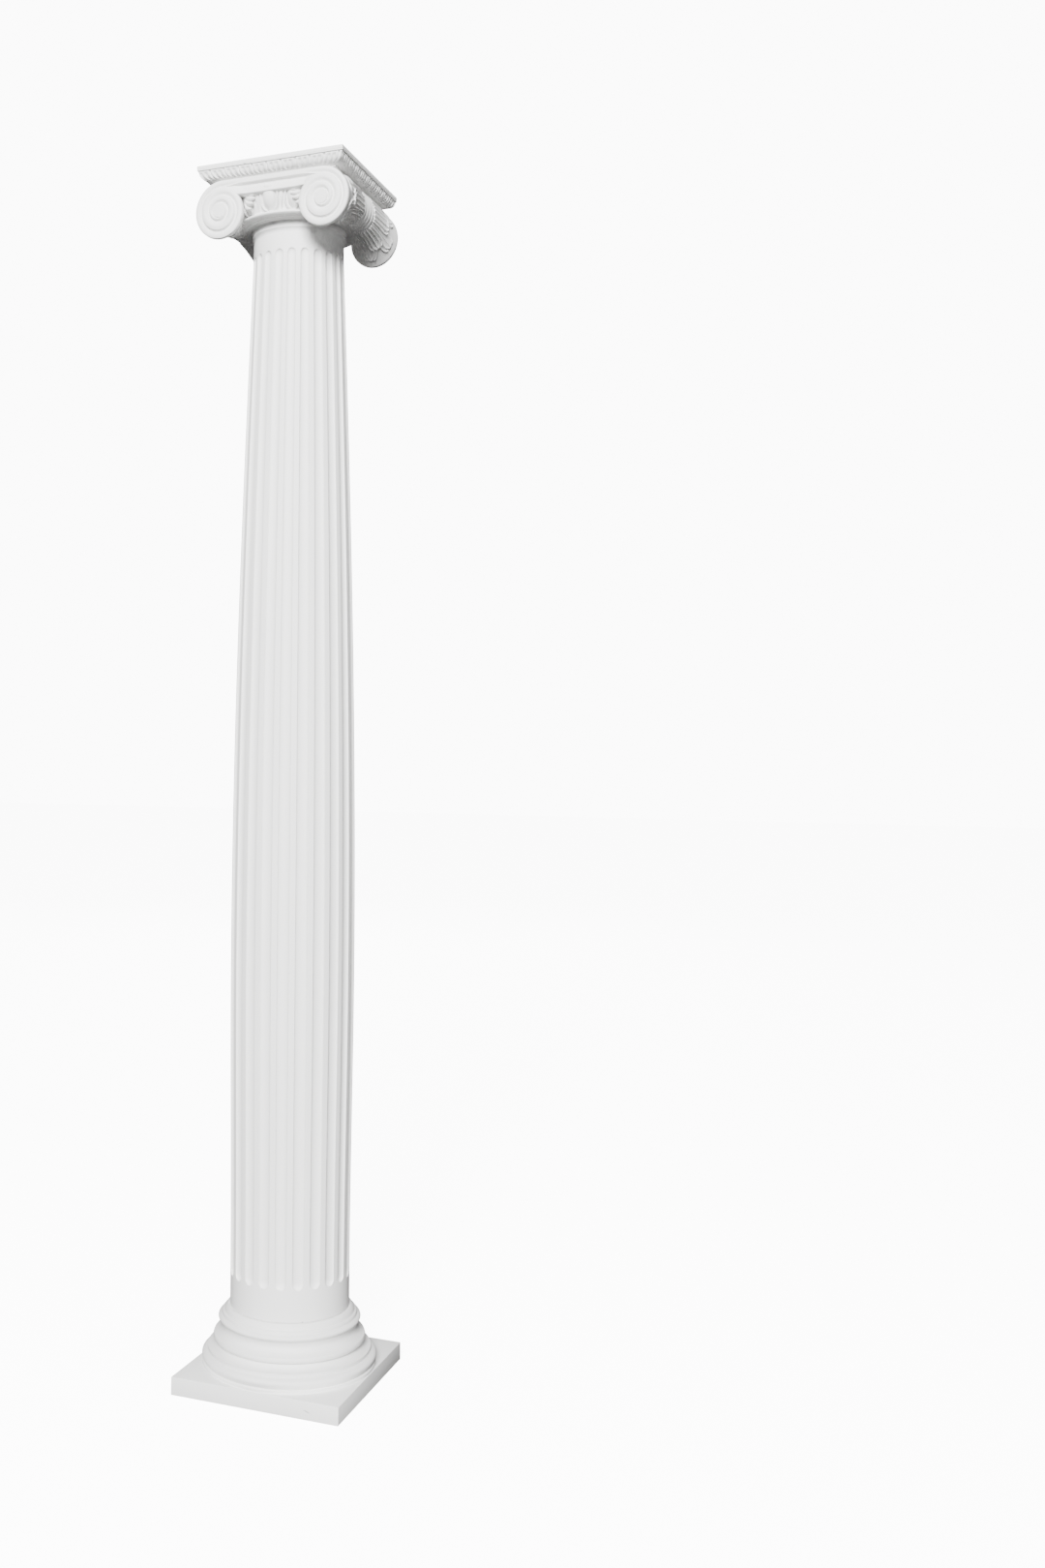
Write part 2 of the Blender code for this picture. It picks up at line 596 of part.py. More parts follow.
def make_petals(number, helpers):
    """The same petal of the four palmettes: a cone, flattened, half sunk in the echinus."""
    bm = bmesh.new()
    ends = ((PALMETTE_OFFSET, PALMETTE_DROP), PETAL_TIPS[number])
    deep = Matrix.Diagonal((PETAL_RELIEF / PETAL_RADIUS, 1, 1, 1))
    for side in (-1, 1):
        for face in (-1, 1):
            root, tip = [
                Vector((side * out, face * math.sqrt(ECHINUS_TOP_RADIUS ** 2 - out ** 2), CHANNEL_FOOT - drop))
                for out, drop in ends
            ]
            ahead = tip - root
            turn = ahead.to_track_quat("Z", "Y").to_matrix().to_4x4()
            place = Matrix.Translation((root + tip) / 2) @ turn @ deep
            bmesh.ops.create_cone(bm, cap_ends=True, segments=5, radius1=PETAL_RADIUS / 2,
                                  radius2=PETAL_RADIUS, depth=ahead.length, matrix=place)
    return object_from(bm, f"petals_{number + 1}", helpers)


def make_capital(pieces, helpers):
    """Abacus, volutes, bolsters and echinus cast in one piece."""
    capital = turned("capital", core_profile(), TURN_STEPS, pieces)
    combine(capital, make_eggs(helpers), "UNION")
    for number in range(len(PETAL_TIPS)):
        combine(capital, make_petals(number, helpers), "UNION")
    combine(capital, make_bed(helpers), "UNION")
    neck_room = make_neck_room(helpers)
    for side in (-1, 1):
        combine(capital, make_bolster(side, neck_room, helpers), "UNION")
    for face in (-1, 1):
        combine(capital, make_channel(face, helpers), "UNION")
    combine(capital, make_eyes(helpers), "UNION")
    combine(capital, make_abacus(helpers), "UNION")
    combine(capital, make_abacus_leaves(helpers), "UNION")
    for side in (-1, 1):
        for face in (-1, 1):
            combine(capital, spiral_groove(side, face, helpers), "DIFFERENCE")
    capital.data.materials.append(plaster("capital_coating", (0.85, 0.85, 0.84), 0.6))
    return capital


clear_scene()
COLUMN = new_collection("ionic_column")
HELPERS = new_collection("helpers")
make_base(COLUMN, HELPERS)
make_shaft(COLUMN)
make_capital(COLUMN, HELPERS)
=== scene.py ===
# %% [markdown]
# # A fluted Ionic column
# The real column is a white moulding in three parts: a square plinth with turned rings, a fluted
# shaft that swells a little, and a capital with scrolls. The rough solids of the three parts are
# loaded first. Each of them is then replaced by a finer piece that is worked out from the same
# sizes, so the fine model and the rough one always agree.

# %% Load the rough solids
import json
import math

import bmesh
import bpy
from mathutils import Matrix, Vector

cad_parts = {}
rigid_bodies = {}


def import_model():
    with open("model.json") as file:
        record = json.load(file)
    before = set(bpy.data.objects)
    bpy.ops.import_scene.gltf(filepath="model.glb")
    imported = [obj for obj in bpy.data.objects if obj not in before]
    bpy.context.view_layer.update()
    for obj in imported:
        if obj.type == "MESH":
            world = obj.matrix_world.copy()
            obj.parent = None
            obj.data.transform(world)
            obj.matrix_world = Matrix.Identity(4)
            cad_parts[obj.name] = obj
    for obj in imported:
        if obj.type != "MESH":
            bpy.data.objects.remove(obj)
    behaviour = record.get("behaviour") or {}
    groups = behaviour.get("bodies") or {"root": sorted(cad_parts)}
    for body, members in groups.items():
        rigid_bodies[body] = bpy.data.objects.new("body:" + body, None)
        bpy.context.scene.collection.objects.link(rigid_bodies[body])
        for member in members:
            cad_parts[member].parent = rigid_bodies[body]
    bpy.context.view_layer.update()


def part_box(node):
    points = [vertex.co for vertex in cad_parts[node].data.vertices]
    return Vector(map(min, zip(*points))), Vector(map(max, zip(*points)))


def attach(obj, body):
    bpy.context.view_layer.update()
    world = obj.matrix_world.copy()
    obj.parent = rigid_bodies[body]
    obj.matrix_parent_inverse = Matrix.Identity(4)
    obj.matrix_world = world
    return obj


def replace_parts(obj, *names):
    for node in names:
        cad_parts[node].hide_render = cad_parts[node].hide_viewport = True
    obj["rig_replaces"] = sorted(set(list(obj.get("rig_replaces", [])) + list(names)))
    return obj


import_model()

# %% [markdown]
# ## Sizes
# All lengths are metres. The origin is the middle of the plinth's underside. A joint gap of a
# fraction of a millimetre separates the three parts, as on the real column.

# %% Heights of the three parts
SHAFT_LOW, SHAFT_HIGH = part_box("shaft")
COLUMN_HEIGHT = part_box("capital")[1].z
BASE_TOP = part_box("base")[1].z
SHAFT_FOOT = SHAFT_LOW.z
SHAFT_TOP = SHAFT_HIGH.z
CAPITAL_HEIGHT = 0.1280
CAPITAL_FOOT = COLUMN_HEIGHT - CAPITAL_HEIGHT
print("base top", BASE_TOP, "shaft", SHAFT_FOOT, SHAFT_TOP, "capital seat", CAPITAL_FOOT)

# %% [markdown]
# ## One helper for every carved surface
# A moulded surface can be drawn as a flat grid whose vertices are then moved to their places.
# The grid comes from an operator, and a small function says where each of its vertices goes.
# Two borders that land on the same place are welded, which closes a tube or a ring.

# %% Helpers for meshes
WELD = 0.000004


def lay_grid(bm, columns, rows, place):
    """Adds a grid of faces and moves its vertex in column i and row j to place(i, j)."""
    made = bmesh.ops.create_grid(bm, x_segments=columns, y_segments=rows, size=0.5)
    for vert in made["verts"]:
        column = round((vert.co.x + 0.5) * columns)
        row = round((vert.co.y + 0.5) * rows)
        vert.co = place(column, row)
    return made["verts"]


def finish_piece(bm, name, node, angle=35):
    """Welds a bmesh, closes its open rims and makes an object that replaces a rough solid."""
    bmesh.ops.remove_doubles(bm, verts=bm.verts, dist=WELD)
    open_edges = [edge for edge in bm.edges if edge.is_boundary]
    if open_edges:
        bmesh.ops.holes_fill(bm, edges=open_edges, sides=0)
    bmesh.ops.recalc_face_normals(bm, faces=bm.faces)
    mesh = bpy.data.meshes.new(name)
    bm.to_mesh(mesh)
    bm.free()
    mesh.shade_smooth()
    mesh.set_sharp_from_angle(angle=math.radians(angle))
    piece = bpy.data.objects.new(name, mesh)
    bpy.context.scene.collection.objects.link(piece)
    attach(piece, "root")
    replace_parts(piece, node)
    mesh.calc_loop_triangles()
    print(name, len(mesh.vertices), "vertices,", len(mesh.loop_triangles), "triangles")
    return piece


def arc(start, end, bulge, steps=10):
    """Points after start along a curve to end that leaves the chord sideways by bulge."""
    start = Vector(start)
    end = Vector(end)
    chord = end - start
    side = Vector((-chord.y, chord.x)).normalized()
    points = []
    for step in range(1, steps + 1):
        share = step / steps
        points.append(start + chord * share + side * bulge * math.sin(math.pi * share))
    return points


def ease(share):
    """Goes from 0 to 1 with soft ends, and stays there outside."""
    share = min(max(share, 0.0), 1.0)
    return share * share * (3 - 2 * share)


# %% [markdown]
# ## Base
# The base is a square plinth with turned rings on it: two rolls called tori, with hollows between
# them. A profile of its right half is a chain of arcs. It is spun a full turn about the column's
# axis, and the turned part stands on a block with slightly softened edges.

# %% Base profile and plinth
PLINTH_SIDE = 0.384
PLINTH_HEIGHT = 0.0375
BASE_STEPS = 192
BASE_SINK = 0.004
PLINTH_EDGE = 0.0012


def base_profile():
    """(radius, height) points from the shaft's seat down to the plinth."""
    height = BASE_TOP
    points = [Vector((0.1350, height))]
    height -= 0.0102
    points += arc(points[-1], (0.1432, height), 0.0012, 6)
    points.append(Vector((0.1434, height - 0.0004)))
    height -= 0.0072
    points += arc(points[-1], (0.1488, height), 0.0018, 6)
    points.append(Vector((0.1490, height - 0.0004)))
    height -= 0.0150
    points += arc(points[-1], (0.1510, height), 0.0066, 14)
    height -= 0.0210
    points += arc(points[-1], (0.1550, height), -0.0042, 12)
    height -= 0.0055
    points.append(Vector((0.1657, height)))
    height -= 0.0105
    points += arc(points[-1], (0.1657, height), 0.0015, 6)
    points.append(Vector((0.1600, height - 0.001)))
    height -= 0.0145
    points += arc(points[-1], (0.1735, height), -0.0028, 10)
    points.append(Vector((0.1790, height - 0.0012)))
    height -= 0.0085
    points.append(Vector((0.1790, height)))
    height -= 0.0217
    points += arc(points[-1], (0.1870, height), 0.0088, 16)
    points.append(Vector((0.1905, height - 0.0018)))
    points.append(Vector((0.1905, PLINTH_HEIGHT - BASE_SINK)))
    return points


bm = bmesh.new()
profile = [bm.verts.new((radius, 0, height)) for radius, height in base_profile()]
for upper, lower in zip(profile, profile[1:]):
    bm.edges.new((upper, lower))
bmesh.ops.spin(bm, geom=bm.verts[:] + bm.edges[:], cent=(0, 0, 0), axis=(0, 0, 1),
               angle=math.tau, steps=BASE_STEPS, use_merge=True)
MOULDINGS = finish_piece(bm, "base_mouldings", "base", 30)

bm = bmesh.new()
size = Vector((PLINTH_SIDE, PLINTH_SIDE, PLINTH_HEIGHT))
block = Matrix.Translation((0, 0, PLINTH_HEIGHT / 2)) @ Matrix.Diagonal((*size, 1))
bmesh.ops.create_cube(bm, size=1, matrix=block)
bmesh.ops.bevel(bm, geom=bm.edges[:], offset=PLINTH_EDGE, affect="EDGES", segments=3, profile=0.5,
                material=-1)
PLINTH = finish_piece(bm, "base_plinth", "base", 60)

# %% [markdown]
# ## Shaft
# The shaft widens gently up to about a third of its height and then thins to the neck. Twenty-two
# flutes with rounded ends run up it, with a narrow fillet between each two. A ball-nosed cutter
# would leave such a flute. Here the grid's columns follow the flutes' edges, and its rows bend
# round the flutes' ends, so that every edge is crisp with few faces.

# %% Shaft radius and flutes
SHAFT_FOOT_RADIUS = 0.1315
SHAFT_SWELL_RADIUS = 0.1390
SHAFT_SWELL_HEIGHT = 0.980
SHAFT_NECK_RADIUS = 0.1055
NECK_RING_RADIUS = 0.1128
NECK_RING_HEIGHT = 0.0145
NECK_HOLLOW_HEIGHT = 0.0100
FLUTE_COUNT = 22
FLUTE_SHARE = 2 / 3
FLUTE_DEPTH = 0.0068
FLUTE_PHASE = math.radians(14.3)
NECK_RING_FOOT = SHAFT_TOP - NECK_RING_HEIGHT
NECK_HOLLOW_FOOT = NECK_RING_FOOT - NECK_HOLLOW_HEIGHT
FLUTE_FOOT = SHAFT_FOOT + 0.0665
FLUTE_HEAD = NECK_RING_FOOT - 0.0480
FLUTE_HALF = math.pi / FLUTE_COUNT * FLUTE_SHARE
FLUTE_END = SHAFT_FOOT_RADIUS * FLUTE_HALF
JOINT_INSET = 0.0026
JOINT_HEIGHT = 0.0018
STRAIGHT_ROWS = 64
ACROSS = [-1.0, -0.97, -0.88, -0.72, -0.50, -0.26, 0.0, 0.26, 0.50, 0.72, 0.88, 0.97, 1.0]
FILLET = [0.10, 0.5, 0.90]


def shaft_radius(height):
    """Radius of the fillets: the foot swells gently, then the shaft thins to the neck."""
    if height < SHAFT_SWELL_HEIGHT:
        share = (SHAFT_SWELL_HEIGHT - height) / (SHAFT_SWELL_HEIGHT - SHAFT_FOOT)
        turned_in = (1 - math.cos(math.pi * share)) / 2
        return SHAFT_SWELL_RADIUS + (SHAFT_FOOT_RADIUS - SHAFT_SWELL_RADIUS) * turned_in
    share = min((height - SHAFT_SWELL_HEIGHT) / (FLUTE_HEAD - SHAFT_SWELL_HEIGHT), 1)
    turned_in = 1 - math.cos(math.pi / 2 * share)
    return SHAFT_SWELL_RADIUS + (SHAFT_NECK_RADIUS - SHAFT_SWELL_RADIUS) * turned_in


def column_angles():
    """(angle, place across the flute) of every column of the shaft's grid."""
    found = []
    pitch = math.tau / FLUTE_COUNT
    for flute in range(FLUTE_COUNT):
        centre = FLUTE_PHASE + pitch * flute
        found += [(centre + across * FLUTE_HALF, across) for across in ACROSS]
        edge = centre + FLUTE_HALF
        found += [(edge + (pitch - 2 * FLUTE_HALF) * share, 2.0) for share in FILLET]
    found.append((found[0][0] + math.tau, found[0][1]))
    return found


def flute_floor(across, height):
    """Depth of the flute here, with ends as a ball-nosed cutter leaves them."""
    inside = min(height - FLUTE_FOOT, FLUTE_HEAD - height)
    along = max(0.0, 1 - inside / FLUTE_END)
    if abs(across) >= 1 or inside <= 0:
        return 0.0
    return FLUTE_DEPTH * math.sqrt(max(0.0, 1 - across ** 2 - along ** 2))


def level_height(kind, value, across):
    """Height of a row: plain rows are level, and the others bend round the flutes' ends."""
    if kind == "level":
        return value
    lift = FLUTE_END
    if abs(across) < 1:
        lift = FLUTE_END * (1 - math.sqrt(1 - across ** 2))
    lift += (1.5 * FLUTE_END - lift) * value
    return FLUTE_FOOT + lift if kind == "foot" else FLUTE_HEAD - lift


END_SHARES = [0.0, 0.015, 0.05, 0.11, 0.20, 0.33, 0.50, 0.72, 1.0]
LEVELS = [("level", SHAFT_FOOT), ("level", SHAFT_FOOT + JOINT_HEIGHT),
          ("level", FLUTE_FOOT - 0.004)]
LEVELS += [("foot", share) for share in END_SHARES]
straight_foot = FLUTE_FOOT + 1.5 * FLUTE_END
straight_head = FLUTE_HEAD - 1.5 * FLUTE_END
straight = straight_head - straight_foot
LEVELS += [("level", straight_foot + straight * step / STRAIGHT_ROWS)
           for step in range(1, STRAIGHT_ROWS)]
LEVELS += [("head", share) for share in reversed(END_SHARES)]
NECK_PROFILE = [Vector((SHAFT_NECK_RADIUS, FLUTE_HEAD + 0.006)),
                Vector((SHAFT_NECK_RADIUS, NECK_HOLLOW_FOOT - 0.004))]
NECK_PROFILE += arc(NECK_PROFILE[-1], (NECK_RING_RADIUS - 0.0026, NECK_RING_FOOT), 0.0022, 8)
NECK_PROFILE += arc(NECK_PROFILE[-1], (NECK_RING_RADIUS - 0.0016, SHAFT_TOP), 0.0022, 8)


def place_shaft(column, row):
    """Place of one vertex of the shaft's grid."""
    angle, across = COLUMNS[column]
    if row < len(LEVELS):
        kind, value = LEVELS[row]
        height = level_height(kind, value, across)
        radius = shaft_radius(height) - flute_floor(across, height)
        if row == 0:
            radius -= JOINT_INSET
    else:
        radius, height = NECK_PROFILE[row - len(LEVELS)]
    return Vector((radius * math.sin(angle), -radius * math.cos(angle), height))


COLUMNS = column_angles()
bm = bmesh.new()
lay_grid(bm, len(COLUMNS) - 1, len(LEVELS) + len(NECK_PROFILE) - 1, place_shaft)
SHAFT = finish_piece(bm, "shaft_fluted", "shaft", 30)

# %% [markdown]
# ## Abacus
# The abacus is the square slab on top: a plain fillet, a thin groove, and a curved band with a row
# of pointed leaves. One side is a grid from mitre to mitre. It is carved by a function, copied
# three times round the axis, and the four sides are welded at the mitres.

# %% Abacus with its leaves
ABACUS_HALF = 0.1787
OVOLO_HALF = 0.1765
SOFFIT_HALF = 0.1585
ABACUS_FILLET = 0.0115
OVOLO_HEIGHT = 0.0195
OVOLO_ROWS = 30
ABACUS_FOOT = COLUMN_HEIGHT - 0.0365
SOFFIT_RECESS = 0.0080
LEAVES = 10
LEAF_STEPS = 32
LEAF_PHASE = -0.21


def abacus_profile():
    """(half side, height, place down the leaf band) from the top edge to the underside."""
    height = COLUMN_HEIGHT
    points = [(ABACUS_HALF - 0.0012, height, -1), (ABACUS_HALF - 0.0004, height - 0.0004, -1),
              (ABACUS_HALF, height - 0.0012, -1), (ABACUS_HALF, height - 0.0080, -1),
              (ABACUS_HALF - 0.0007, height - 0.0084, -1),
              (ABACUS_HALF - 0.0007, height - 0.0090, -1),
              (ABACUS_HALF, height - 0.0094, -1)]
    height -= ABACUS_FILLET
    points += [(ABACUS_HALF - 0.0003, height, -1), (OVOLO_HALF - 0.0050, height - 0.0002, -1),
               (OVOLO_HALF - 0.0050, height - 0.0013, -1)]
    height -= 0.0015
    start = Vector((OVOLO_HALF, height))
    band = [start, *arc(start, (SOFFIT_HALF, height - OVOLO_HEIGHT), 0.0050, OVOLO_ROWS)]
    points += [(point.x, point.y, index / OVOLO_ROWS) for index, point in enumerate(band)]
    recess = SOFFIT_HALF - SOFFIT_RECESS
    points += [(recess + 0.0005, height - OVOLO_HEIGHT, -1), (recess, ABACUS_FOOT, -1)]
    return points


def leaf_relief(across, down):
    """Depth of the carving at a place across one leaf (-1 to 1) and down the band (0 to 1)."""
    across = abs(across)
    half = 0.62 if down < 0.45 else 0.62 * math.sqrt(max(0.0, 1 - ((down - 0.45) / 0.49) ** 2))
    rib = 0.09 + 0.05 * down
    hollow = ease((half - across) / 0.14) * ease((across - rib) / 0.12) * ease((down - 0.06) / 0.14)
    gap = ease((across - 0.86) / 0.09) * ease((0.93 - down) / 0.16)
    height = -(0.0030 + 0.0024 * down) * hollow - 0.0042 * gap
    height += 0.0008 * ease(1 - abs(across - 0.74) / 0.14) * ease((0.97 - down) / 0.1)
    return height * ease(down / 0.05) * ease((1 - down) / 0.04)


ABACUS_PROFILE = abacus_profile()
ABACUS_COLUMNS = LEAVES * LEAF_STEPS


def place_abacus(column, row):
    """Place of one vertex on the front side of the abacus."""
    half, height, down = ABACUS_PROFILE[row]
    along = 2 * column / ABACUS_COLUMNS - 1
    lift = 0.0
    if down >= 0:
        unit = (column / LEAF_STEPS - LEAF_PHASE) % 1 * 2 - 1
        lift = leaf_relief(unit, down) * ease((1 - abs(along)) / 0.01)
    return Vector((along * half, -half - lift, height))


bm = bmesh.new()
front = lay_grid(bm, ABACUS_COLUMNS, len(ABACUS_PROFILE) - 1, place_abacus)
for quarter in range(1, 4):
    faces = list({face for vert in front for face in vert.link_faces})
    copied = bmesh.ops.duplicate(bm, geom=front + faces)
    moved = [part for part in copied["geom"] if isinstance(part, bmesh.types.BMVert)]
    quarter_turn = Matrix.Rotation(math.pi / 2 * quarter, 3, "Z")
    bmesh.ops.rotate(bm, verts=moved, cent=(0, 0, 0), matrix=quarter_turn)
ABACUS = finish_piece(bm, "capital_abacus", "capital", 40)

# %% [markdown]
# ## Echinus
# Under the scrolls a round bowl called the echinus carries a row of eggs, each in a raised shell
# with a dart beside it. A plain bead, the astragal, ends it. The bowl is a grid wrapped a full turn
# round the axis, and the eggs are a function of the angle and the height.

# %% Echinus with its eggs
EYE_DROP = 0.0715
EYE_HEIGHT = ABACUS_FOOT - EYE_DROP
FILLET_FOOT = ABACUS_FOOT - 0.0115
CHANNEL_HEIGHT = 0.0255
CHANNEL_FOOT = FILLET_FOOT - CHANNEL_HEIGHT
ECHINUS_TOP_RADIUS = 0.1560
ECHINUS_FOOT_RADIUS = 0.1430
ASTRAGAL_TOP = CAPITAL_FOOT + 0.0120
EGGS_ROUND = 16
EGG_PHASE = math.radians(-3.7)
EGG_STEPS = 60
EGG_ROWS = 60
EGG_HALF = 0.0165
EGG_MIDDLE = CHANNEL_FOOT - 0.0145
EGG_DROP = 0.0270
SHELL_HALF = 0.0213
SHELL_MIDDLE = CHANNEL_FOOT - 0.0235
SHELL_DROP = 0.0207
SHELL_WIDTH = 0.0027


def egg_relief(across, height):
    """Height of the carving at a distance across one egg's unit and at a height."""
    egg = math.hypot(across / EGG_HALF, max(0.0, EGG_MIDDLE - height) / EGG_DROP)
    shell = math.hypot(across / SHELL_HALF, max(0.0, SHELL_MIDDLE - height) / SHELL_DROP)
    edge = ECHINUS_TOP_RADIUS * math.pi / EGGS_ROUND
    lift = -0.0050
    if egg < 1:
        lift += 0.0110 * (1 - egg ** 2.4) ** 0.55
    lift += 0.0075 * math.sqrt(max(0.0, 1 - ((shell - 1) * SHELL_HALF / SHELL_WIDTH) ** 2))
    low = ease((height - ASTRAGAL_TOP) / 0.034)
    if shell > 1:
        lift += 0.0060 * ease((0.0014 + 0.0036 * low - (edge - abs(across))) / 0.0016)
    return lift * ease((height - ASTRAGAL_TOP) / 0.003)


def echinus_profile():
    """(radius, height, carved) points from the top of the bowl down to the seat on the shaft."""
    top = CHANNEL_FOOT + 0.012
    points = [(ECHINUS_TOP_RADIUS, top, 1)]
    start = Vector((ECHINUS_TOP_RADIUS, top))
    for point in arc(start, (ECHINUS_FOOT_RADIUS, ASTRAGAL_TOP), 0.0040, EGG_ROWS):
        points.append((point.x, point.y, 1))
    start = Vector((ECHINUS_FOOT_RADIUS, ASTRAGAL_TOP))
    for point in arc(start, (ECHINUS_FOOT_RADIUS, CAPITAL_FOOT + 0.0015), 0.0070, 14):
        points.append((point.x, point.y, 0))
    for radius, height in ((0.1330, 0.0015), (0.1325, 0.0008), (0.1230, 0.0008),
                           (0.1225, 0.0), (0.1100, 0.0)):
        points.append((radius, CAPITAL_FOOT + height, 0))
    return points


ECHINUS_PROFILE = echinus_profile()
ECHINUS_COLUMNS = EGGS_ROUND * EGG_STEPS


def place_echinus(column, row):
    """Place of one vertex of the bowl."""
    radius, height, carved = ECHINUS_PROFILE[row]
    angle = EGG_PHASE + math.tau * column / ECHINUS_COLUMNS
    if carved:
        unit = ((column / EGG_STEPS + 0.5) % 1 - 0.5) * math.tau / EGGS_ROUND
        radius += egg_relief(unit * ECHINUS_TOP_RADIUS, height)
    return Vector((radius * math.sin(angle), -radius * math.cos(angle), height))


bm = bmesh.new()
lay_grid(bm, ECHINUS_COLUMNS, len(ECHINUS_PROFILE) - 1, place_echinus)
ECHINUS = finish_piece(bm, "capital_echinus", "capital", 40)

# %% [markdown]
# ## Scrolls
# Each scroll is a roll, the bolster, that runs from the front volute to the rear one, with a ribbed
# girdle at its waist and leaves on both halves. Its ends are the volutes: one ribbon that winds two
# and two thirds turns round a flat eye and rises towards it. The ribbon is a grid whose rows follow
# the spiral, so its groove is even everywhere. The inner side of each turn is welded to the outer
# side of the next one.

# %% Spiral of the volutes
VOLUTE_PLANE = 0.1640
EYE_OFFSET = 0.1242
WIDTH_SHARE = 0.93
TURN_STEPS = 276
LAST_STEP = round(2.65625 * TURN_STEPS)
EYE_RISE = 0.0085
EYE_ROWS = 6
GROOVE_DEPTH = 0.0058
RIBBON = [0.0, 0.05, 0.13, 0.27, 0.42, 0.54, 0.63, 0.71, 0.79, 0.86, 0.91, 0.955, 1.0]


def spiral_radius(turns):
    """Distance from the eye to the spiral after so many turns from the top."""
    return EYE_DROP - 0.0155 * turns - 0.0020 * turns ** 2


EYE_RADIUS = spiral_radius(LAST_STEP / TURN_STEPS)


def coil_rise(radius):
    """How far the ribbon stands out of the volute's rim at this distance from the eye."""
    share = (EYE_DROP - radius) / (EYE_DROP - EYE_RADIUS)
    return EYE_RISE * ease(share * 0.5 + 0.5) * 2 - EYE_RISE


def face_point(step, radius):
    """(outward, up) of a point of the volute at a step and a distance from the eye."""
    angle = math.pi / 2 - math.tau * step / TURN_STEPS
    return radius * WIDTH_SHARE * math.cos(angle), radius * math.sin(angle)


def ribbon_place(step, share):
    """(outward, up, rise) of a point across the ribbon: crown, groove, then the next turn."""
    outer = spiral_radius(step / TURN_STEPS)
    inner = max(spiral_radius(step / TURN_STEPS + 1), EYE_RADIUS)
    radius = outer + (inner - outer) * share
    out, up = face_point(step, radius)
    width = min(1, (outer - inner) / 0.012)
    dip = ease((share - 0.42) / 0.40) if share < 0.86 else ease((1.0 - share) / 0.14)
    crown = 0.0007 * math.sin(math.pi * min(share / 0.5, 1))
    rise = coil_rise(radius) - (GROOVE_DEPTH * dip - crown) * width
    if share == 0.0 and step < TURN_STEPS:
        rise -= 0.0008 * min(1, (TURN_STEPS - step) / 24)
    return out, up, rise


print("eye radius", EYE_RADIUS, "ribbon steps", LAST_STEP)

# %% Bolster with girdle and leaves
BACK_FROM_PLANE = 0.0016
WAIST_SHARE = 0.56
WAIST_SHIFT = 0.0140
WAIST_RISE = 0.0180
FLARE_POWER = 2.2
RIM_WIDTH = 0.0070
GIRDLE_HALF = 0.030
GIRDLE_RIBS = 4
GIRDLE_RELIEF = 0.0036
BOLSTER_ROWS = 250
LEAVES_ROUND = 6
NECK_CLEAR = NECK_RING_RADIUS + 0.0012


def bolster_leaves(share, turn):
    """Height of the leaves at a share of the way from girdle to rim and a share of the turn."""
    lift = 0.0
    for shift, tip, base in ((0.5, 0.89, 0.0034), (0.0, 0.66, 0.0058)):
        across = abs((turn * LEAVES_ROUND + shift) % 1 - 0.5)
        bend = (share - 0.70 * tip) / (0.30 * tip)
        half = 0.45 if bend < 0 else 0.45 * max(0.0, 1 - bend ** 3) ** 0.5
        inside = half - across
        if inside > 0:
            rim = ease(1 - abs(inside - 0.08) / 0.06)
            fold = ease(1 - abs(inside - 0.24) / 0.06)
            vein = ease(1 - across / 0.05)
            edge = ease(inside / 0.08) * ease((tip - share) / 0.04)
            surface = base * edge * (0.40 + 0.60 * max(rim, fold, vein))
            lift = max(lift, surface)
    return lift


def bolster_relief(along, turn):
    """Height of the carving on the roll, at a distance from its middle and a share of the turn."""
    along = abs(along)
    if along < GIRDLE_HALF:
        rib = abs(math.sin(math.pi * GIRDLE_RIBS * (along / GIRDLE_HALF + 1) / 2))
        return GIRDLE_RELIEF * (0.35 + 0.65 * rib ** 0.8)
    share = (along - GIRDLE_HALF) / (VOLUTE_PLANE - RIM_WIDTH - GIRDLE_HALF)
    if share >= 1:
        return 0.0
    return bolster_leaves(share, turn) * ease(share / 0.03)


def outline_steps():
    """Steps and radii of the roll's section: one turn of the spiral, then back to its start."""
    found = [(step, spiral_radius(step / TURN_STEPS)) for step in range(TURN_STEPS + 1)]
    found += [(TURN_STEPS, spiral_radius(1) + (EYE_DROP - spiral_radius(1)) * (1 - share))
              for share in reversed(RIBBON[:-1])]
    return found


OUTLINE = outline_steps()


def place_bolster(column, row):
    """Place of one vertex of the right-hand roll."""
    step, radius = OUTLINE[column]
    if row == 0 or row == BOLSTER_ROWS:
        along = VOLUTE_PLANE if row else -VOLUTE_PLANE
        back = column - TURN_STEPS
        rise = ribbon_place(0, RIBBON[-1 - back])[2] if back > 0 else ribbon_place(step, 0.0)[2]
        out, up = face_point(step, radius)
        return Vector((EYE_OFFSET + out, along + math.copysign(1, along) * rise, EYE_HEIGHT + up))
    along = (2 * row / BOLSTER_ROWS - 1) * (VOLUTE_PLANE - BACK_FROM_PLANE)
    turn = step / TURN_STEPS
    share = min(abs(along) / (VOLUTE_PLANE - RIM_WIDTH), 1) ** FLARE_POWER
    scale = WAIST_SHARE + (1 - WAIST_SHARE) * share
    shift, lift = WAIST_SHIFT * (1 - share), WAIST_RISE * (1 - share)
    out, up = face_point(step, radius)
    under_top = ease((0.5 - abs(turn - 0.5)) / 0.10)
    grow = scale + bolster_relief(along, turn) / EYE_DROP * under_top
    top = (EYE_DROP - lift - 0.0006 * (1 - share)) / EYE_DROP
    out = out * grow
    up = up * grow if up < 0 else up * (top + (grow - scale) * 0.5)
    x, z = EYE_OFFSET + shift + out, EYE_HEIGHT + lift + up
    away = math.hypot(x, along)
    if z < CAPITAL_FOOT and away < NECK_CLEAR:
        x, along = x / away * NECK_CLEAR, along / away * NECK_CLEAR
    return Vector((x, along, z))


